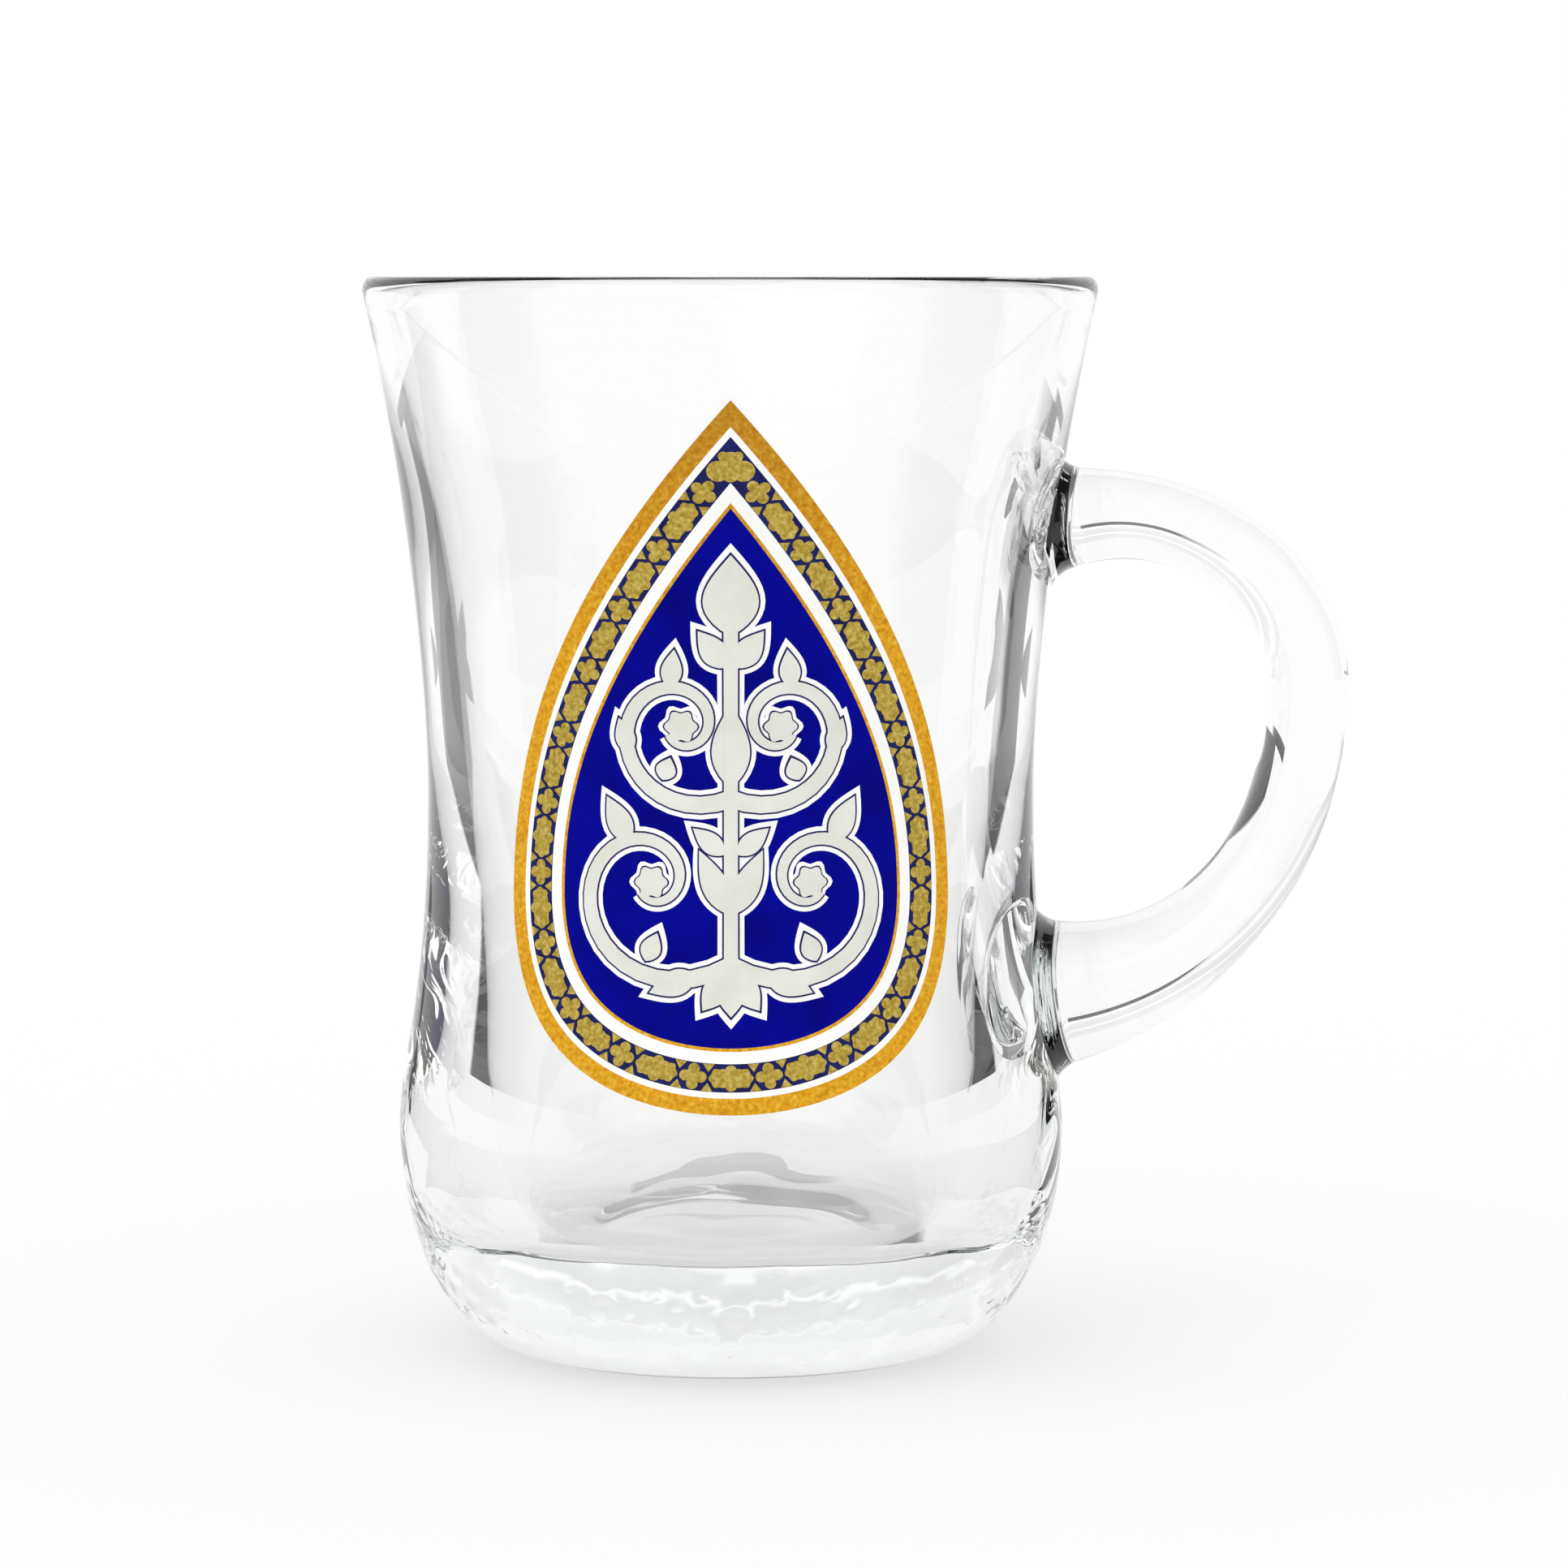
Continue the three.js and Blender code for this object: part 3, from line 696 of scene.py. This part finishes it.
# Gold chain: pairs of rosettes and four-lobed flowers in turn, with wedges between them
def rosette_pair():
    lobed = (ROSETTE_PAIR_RADIUS, ROSETTE_LOBES, ROSETTE_PAIR_LOBE_DEPTH)
    return [
        disc((-ROSETTE_PAIR_SPREAD, 0), *lobed),
        disc((ROSETTE_PAIR_SPREAD, 0), *lobed),
        disc((0, LOBE_SPREAD), LOBE_RADIUS),
        disc((0, -LOBE_SPREAD), LOBE_RADIUS),
        disc((0, 0), LOBE_RADIUS),
    ]


def flower():
    spots = [(LOBE_SPREAD, 0), (0, LOBE_SPREAD), (-LOBE_SPREAD, 0), (0, -LOBE_SPREAD), (0, 0)]
    return [disc(spot, LOBE_RADIUS) for spot in spots]


def wedges():
    base = BLUE_BAND / 2 - WEDGE_MARGIN
    wedge = np.array([(-WEDGE_HALF_WIDTH, base), (0, base - WEDGE_HEIGHT), (WEDGE_HALF_WIDTH, base)])
    return [wedge, wedge * (1, -1)]


def tip_flower():
    tip = half_outline(band_inset, PRINT_STEPS)[-1]
    return [disc(tip + np.array((x, y)), radius) for x, y, radius in TIP_FLOWER]


def gold_chain():
    middle = half_outline(band_inset + BLUE_BAND / 2, CHAIN_STEPS)
    length = line_length(middle)
    count = 2 * round(((length - CHAIN_TIP_GAP) / CHAIN_PITCH - 1) / 2) + 1
    pitch = (length - CHAIN_TIP_GAP) / count
    along = directions(middle)
    travel = np.linspace(0, length, len(middle))

    def placed(shapes, distance):
        i = int(np.argmin(np.abs(travel - distance)))
        across = np.array((-along[i, 1], along[i, 0]))
        return [middle[i] + np.outer(s[:, 0], along[i]) + np.outer(s[:, 1], across) for s in shapes]

    paired = []
    for k in range(1, count + 1):
        paired += placed(flower() if k % 2 else rosette_pair(), k * pitch)
        shift = WEDGE_SHIFT if k % 2 else -WEDGE_SHIFT
        paired += placed(wedges(), (k - 0.5) * pitch + shift)
    at_bottom = placed(rosette_pair(), 0)
    return [*at_bottom, *tip_flower(), *paired, *[mirrored(loop) for loop in paired]]


# Ornament: paired volutes on a middle stem, with leaves. A trim draws it smaller all round.
def level(rise):
    return PRINT_WIDEST_HEIGHT + rise * grid_unit


def spot(x, rise):
    return np.array((x * grid_unit, level(rise)))


# Strip along a line as a chain of quads
def ribbon(line, width, trim):
    along = directions(line)
    across = np.column_stack((-along[:, 1], along[:, 0]))
    half = (width - 2 * trim)[:, None] / 2
    left = line + across * half
    right = line - across * half
    return [np.array((right[i], right[i + 1], left[i + 1], left[i])) for i in range(len(line) - 1)]


def volute(x, rise, stem_rise, shrink, trim):
    eye = spot(x, rise)
    stem_height = level(stem_rise)
    share = np.linspace(0, 1, VINE_STEPS + 1)
    reach = math.hypot(eye[0], eye[1] - stem_height) * shrink ** (VINE_TURNS * share)
    angle = math.atan2(stem_height - eye[1], -eye[0]) + 2 * math.pi * VINE_TURNS * share
    line = np.column_stack((eye[0] + reach * np.cos(angle), eye[1] + reach * np.sin(angle)))
    return ribbon(line, VINE_WIDTH + (VINE_TIP_WIDTH - VINE_WIDTH) * share, trim)


def leaf(x, rise, lean_deg, units, width, trim):
    lean = math.radians(lean_deg)
    along = np.array((math.sin(lean), math.cos(lean)))
    across = np.array((math.cos(lean), -math.sin(lean)))
    start = spot(x, rise) + LEAF_FOOT_TRIM * trim * along
    length = units * grid_unit - LEAF_LENGTH_TRIM * trim
    share = np.linspace(0, 1, LEAF_STEPS + 1)
    swell = np.sin(math.pi * share**LEAF_SWELL_POWER) * (width / 2 - trim)
    middle = start + np.outer(share * length, along)
    offset = np.outer(swell, across)
    return np.vstack((middle + offset, (middle - offset)[-2:0:-1]))


def rosette(x, rise, trim):
    return disc(spot(x, rise), ROSETTE_RADIUS - trim, ROSETTE_LOBES, ROSETTE_LOBE_DEPTH)


def ornament(trim):
    stem = np.array((spot(0, STEM_BOTTOM), spot(0, STEM_TOP)))
    middle = ribbon(stem, np.full(2, STEM_WIDTH), trim)
    middle += [leaf(*row, trim) for row in MIDDLE_LEAVES]
    paired = [quad for row in VOLUTES for quad in volute(*row, trim)]
    paired += [rosette(x, rise, trim) for x, rise, _, _ in VOLUTES]
    paired += [leaf(*row, trim) for row in PAIRED_LEAVES]
    return [*middle, *paired, *[mirrored(loop) for loop in paired]]


# Materials
def srgb(red, green, blue):
    def linear(value):
        value /= 255
        return value / 12.92 if value <= 0.04045 else ((value + 0.055) / 1.055) ** 2.4
    return (linear(red), linear(green), linear(blue), 1)


def new_material(name):
    material = bpy.data.materials.new(name)
    material.use_nodes = True
    tree = material.node_tree
    return material, tree, tree.nodes["Principled BSDF"]


def matt(shader):
    shader.inputs["Roughness"].default_value = 1
    shader.inputs["Specular IOR Level"].default_value = 0


def noise(tree, size_mm, detail, roughness=0.5):
    where = tree.nodes.new("ShaderNodeTexCoord")
    texture = tree.nodes.new("ShaderNodeTexNoise")
    texture.inputs["Scale"].default_value = 1 / (size_mm * MM)
    texture.inputs["Detail"].default_value = detail
    texture.inputs["Roughness"].default_value = roughness
    tree.links.new(where.outputs["Object"], texture.inputs["Vector"])
    return texture.outputs["Fac"]


# Share from 0 to 1 between two heights in millimetres
def height_share(tree, low, high):
    where = tree.nodes.new("ShaderNodeTexCoord")
    parts = tree.nodes.new("ShaderNodeSeparateXYZ")
    share = tree.nodes.new("ShaderNodeMapRange")
    share.inputs["From Min"].default_value = low * MM
    share.inputs["From Max"].default_value = high * MM
    tree.links.new(where.outputs["Object"], parts.inputs["Vector"])
    tree.links.new(parts.outputs["Z"], share.inputs["Value"])
    return share.outputs["Result"]


def ramp(tree, value, stops):
    node = tree.nodes.new("ShaderNodeValToRGB")
    elements = node.color_ramp.elements
    while len(elements) < len(stops):
        elements.new(0.5)
    for element, (position, colour) in zip(elements, stops):
        element.position = position
        element.color = colour
    tree.links.new(value, node.inputs["Fac"])
    return node.outputs["Color"]


def bump(tree, shader, value, height_mm):
    node = tree.nodes.new("ShaderNodeBump")
    node.inputs["Strength"].default_value = 1
    node.inputs["Distance"].default_value = height_mm * MM
    tree.links.new(value, node.inputs["Height"])
    tree.links.new(node.outputs["Normal"], shader.inputs["Normal"])


def clear_glass():
    material, tree, shader = new_material("clear_glass")
    shader.inputs["Base Color"].default_value = GLASS_COLOUR
    shader.inputs["Roughness"].default_value = 0
    shader.inputs["IOR"].default_value = GLASS_IOR
    shader.inputs["Transmission Weight"].default_value = 1
    bump(tree, shader, noise(tree, GLASS_RIPPLE_SIZE, detail=1), GLASS_RIPPLE_HEIGHT)
    absorb = tree.nodes.new("ShaderNodeVolumeAbsorption")
    absorb.inputs["Color"].default_value = GLASS_DEPTH_COLOUR
    absorb.inputs["Density"].default_value = GLASS_DENSITY
    tree.links.new(absorb.outputs["Volume"], tree.nodes["Material Output"].inputs["Volume"])
    return material


def enamel(name, stops, grain_mm, roughness, relief_mm, specular):
    material, tree, shader = new_material(name)
    grain = noise(tree, grain_mm, detail=4, roughness=0.6)
    tree.links.new(ramp(tree, grain, stops), shader.inputs["Base Color"])
    shader.inputs["Roughness"].default_value = roughness
    shader.inputs["Specular IOR Level"].default_value = specular
    bump(tree, shader, noise(tree, INK_RELIEF_SIZE, detail=2), relief_mm)
    return material


# The gold is browner towards the tip of the medallion
def gold_leaf_enamel():
    stops = [
        (0.3, srgb(190, 124, 10)),
        (0.45, srgb(213, 150, 14)),
        (0.58, srgb(224, 168, 30)),
        (0.72, srgb(234, 190, 76)),
    ]
    material = enamel("gold_enamel", stops, grain_mm=0.4, roughness=0.42, relief_mm=0.008, specular=0.15)
    tree = material.node_tree
    base = tree.nodes["Principled BSDF"].inputs["Base Color"]
    tint = tree.nodes.new("ShaderNodeMix")
    tint.data_type = "RGBA"
    tint.blend_type = "MULTIPLY"
    tree.links.new(height_share(tree, GOLD_BROWN_START, print_top), tint.inputs["Factor"])
    tree.links.new(base.links[0].from_socket, tint.inputs["A"])
    tint.inputs["B"].default_value = GOLD_BROWN
    tree.links.new(tint.outputs["Result"], base)
    return material


def chain_enamel():
    stops = [(0.35, srgb(150, 124, 32)), (0.5, srgb(176, 150, 52)), (0.68, srgb(204, 182, 98))]
    return enamel("chain_enamel", stops, grain_mm=0.4, roughness=0.42, relief_mm=0.008, specular=0.25)


def white_enamel():
    stops = [(0.35, srgb(243, 243, 240)), (0.65, srgb(250, 250, 249))]
    return enamel("white_enamel", stops, grain_mm=5, roughness=0.35, relief_mm=0.004, specular=0.3)


def ivory_enamel():
    stops = [(0.35, srgb(216, 217, 207)), (0.65, srgb(228, 229, 222))]
    return enamel("ivory_enamel", stops, grain_mm=6, roughness=0.4, relief_mm=0.004, specular=0.3)


def blue_enamel():
    stops = [(0.35, srgb(0, 1, 120)), (0.65, srgb(1, 3, 146))]
    return enamel("blue_enamel", stops, grain_mm=7, roughness=0.3, relief_mm=0.004, specular=0.04)


def navy_enamel():
    stops = [(0.35, srgb(16, 16, 76)), (0.65, srgb(26, 32, 96))]
    return enamel("navy_enamel", stops, grain_mm=3, roughness=0.35, relief_mm=0.004, specular=0.12)


# Pieces
def add_piece(piece, material, slot, *nodes):
    piece.data.materials.clear()
    piece.data.materials.append(material)
    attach(piece, "root")
    if nodes:
        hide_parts(*nodes)


def add_print():
    gold = gold_leaf_enamel()
    white = white_enamel()
    blue = blue_enamel()
    navy = navy_enamel()
    gold_border = ring_film("gold_border", 0, GOLD_BORDER)
    add_piece(gold_border, gold, "gold_enamel", "print_gold_border")
    white_line = ring_film("white_line", GOLD_BORDER, band_inset)
    add_piece(white_line, white, "white_enamel", "print_white_line")
    blue_band = ring_film("blue_band", band_inset, white_band_inset)
    add_piece(blue_band, navy, "blue_enamel", "print_blue_band")
    white_band = ring_film("white_band", white_band_inset, gold_line_inset)
    add_piece(white_band, white, "white_enamel", "print_white_band")
    gold_line = ring_film("gold_line", gold_line_inset, field_inset)
    add_piece(gold_line, gold, "gold_enamel", "print_gold_line")
    blue_field = film("blue_field", flat_sheet([teardrop(field_inset)]), 0)
    add_piece(blue_field, blue, "blue_enamel", "print_blue_field")
    add_piece(film("gold_chain", flat_sheet(gold_chain()), 1), chain_enamel(), "gold_enamel")
    halo = film("ornament_halo", flat_sheet(ornament(0)), 1)
    add_piece(halo, white, "white_enamel", "print_white_ornament")
    add_piece(film("ornament_line", flat_sheet(ornament(HALO_WIDTH)), 2), navy, "blue_enamel")
    fill = film("ornament_fill", flat_sheet(ornament(HALO_WIDTH + KEYLINE_WIDTH)), 3)
    add_piece(fill, ivory_enamel(), "white_enamel")


# Pale floor that shows white to the camera and through glass, and keeps a faint shadow
def floor_material():
    material, tree, shader = new_material("floor")
    shader.inputs["Base Color"].default_value = FLOOR_COLOUR
    matt(shader)
    white = tree.nodes.new("ShaderNodeEmission")
    path = tree.nodes.new("ShaderNodeLightPath")
    seen = path.outputs["Is Camera Ray"]
    for ray in ("Is Glossy Ray", "Is Transmission Ray"):
        either = tree.nodes.new("ShaderNodeMath")
        either.operation = "MAXIMUM"
        tree.links.new(seen, either.inputs[0])
        tree.links.new(path.outputs[ray], either.inputs[1])
        seen = either.outputs["Value"]
    share = tree.nodes.new("ShaderNodeMath")
    share.operation = "MULTIPLY"
    share.inputs[1].default_value = 1 - FLOOR_SHADOW
    tree.links.new(seen, share.inputs[0])
    blend = tree.nodes.new("ShaderNodeMixShader")
    tree.links.new(share.outputs["Value"], blend.inputs["Fac"])
    tree.links.new(shader.outputs["BSDF"], blend.inputs[1])
    tree.links.new(white.outputs["Emission"], blend.inputs[2])
    tree.links.new(blend.outputs["Shader"], tree.nodes["Material Output"].inputs["Surface"])
    return material


def add_floor():
    loop = disc((0, 0), FLOOR_REACH)
    points = np.column_stack((loop, np.full(len(loop), -FLOOR_DROP)))
    floor = make_mesh("floor", points, [range(len(loop))])
    floor.data.materials.append(floor_material())


# Grey cards that only glass and gloss see, in place of the surroundings that the photograph doesn't show
def card_material():
    material, tree, shader = new_material("card")
    shade = tree.nodes.new("ShaderNodeAttribute")
    shade.attribute_name = "shade"
    tree.links.new(shade.outputs["Color"], shader.inputs["Base Color"])
    matt(shader)
    return material


def add_card(name, rows, material):
    columns = CARD_STEPS + 1
    share = np.linspace(0, 1, columns)
    depth = smooth_share(0, CARD_FADE_IN, share) * (1 - smooth_share(1 - CARD_FADE_OUT, 1, share))
    points = []
    shades = []
    for reach, height, start_deg, end_deg, grey in rows:
        turn = np.radians(start_deg + (end_deg - start_deg) * share)
        level_height = np.full(columns, height + CARD_LIFT)
        points += list(zip(reach * np.sin(turn), reach * np.cos(turn), level_height))
        shades += list(1 - (1 - grey) * depth)

    def corner(row, k):
        return row * columns + k

    faces = [
        (corner(row, k), corner(row, k + 1), corner(row + 1, k + 1), corner(row + 1, k))
        for row in range(len(rows) - 1)
        for k in range(CARD_STEPS)
    ]
    card = make_mesh(name, points, faces)
    colours = card.data.attributes.new("shade", "FLOAT_COLOR", "POINT")
    for i, value in enumerate(shades):
        colours.data[i].color = (value, value, value, 1)
    card.data.materials.append(material)
    card.visible_camera = False
    card.visible_diffuse = False
    card.visible_shadow = False
    card.visible_volume_scatter = False


def other_side(rows):
    return [(reach, height, -start, -end, grey) for reach, height, start, end, grey in rows]


# On the floor at both sides, raised beyond it and overhead, for the walls and the handle.
# The stripes and the bar are behind, for the wavelets of the heel, and the front card lies before the foot
# as painted shade on the floor, which only the base shows.
def add_cards():
    material = card_material()
    spread = STRIPE_SPREAD_DEG
    stripes = [(STRIPE_REACH, height, -spread, spread, grey) for height, grey in STRIPE_ROWS]
    add_card("right_floor_card", RIGHT_FLOOR, material)
    add_card("left_floor_card", LEFT_FLOOR, material)
    add_card("right_raised_card", RIGHT_RAISED, material)
    add_card("left_raised_card", other_side(RIGHT_RAISED), material)
    add_card("ceiling_card", CEILING, material)
    add_card("striped_card", stripes, material)
    add_card("bar_card", BAR, material)
    add_card("front_painted_shade_card", FRONT_PAINTED_SHADE, material)


def add_world():
    world = bpy.data.worlds.new("studio")
    bpy.context.scene.world = world
    world.use_nodes = True
    background = world.node_tree.nodes["Background"]
    background.inputs["Color"].default_value = (1, 1, 1, 1)
    background.inputs["Strength"].default_value = 1


def add_lights():
    sun = bpy.data.lights.new("sun", "SUN")
    sun.energy = SUN_STRENGTH
    sun.angle = math.radians(SUN_SPREAD_DEG)
    lamp = bpy.data.objects.new("sun", sun)
    lamp.rotation_euler = [math.radians(turn) for turn in SUN_TURN_DEG]
    bpy.context.scene.collection.objects.link(lamp)


# Camera level with the rim, aimed down and a little right of the body's middle
def add_camera():
    data = bpy.data.cameras.new("camera")
    data.sensor_width = SENSOR_WIDTH
    data.lens = LENS
    data.clip_start = CAMERA_NEAR * MM
    camera = bpy.data.objects.new("camera", data)
    camera.location = Vector(CAMERA_PLACE) * MM
    tilt = math.radians(CAMERA_TILT_DEG)
    ahead = Vector((0, math.cos(tilt), -math.sin(tilt)))
    aim = ahead + AIM_RIGHT * Vector((1, 0, 0))
    camera.rotation_euler = aim.to_track_quat("-Z", "Y").to_euler()
    bpy.context.scene.collection.objects.link(camera)
    bpy.context.scene.camera = camera


add_camera()
add_world()
add_lights()
add_floor()
add_cards()
add_piece(welded_glass(), clear_glass(), "clear_glass", "glass_body", "handle")
add_print()

scene = bpy.context.scene
scene.view_settings.view_transform = "Standard"
scene.cycles.max_bounces = MAX_BOUNCES
scene.cycles.transmission_bounces = TRANSMISSION_BOUNCES
scene.cycles.glossy_bounces = GLOSSY_BOUNCES
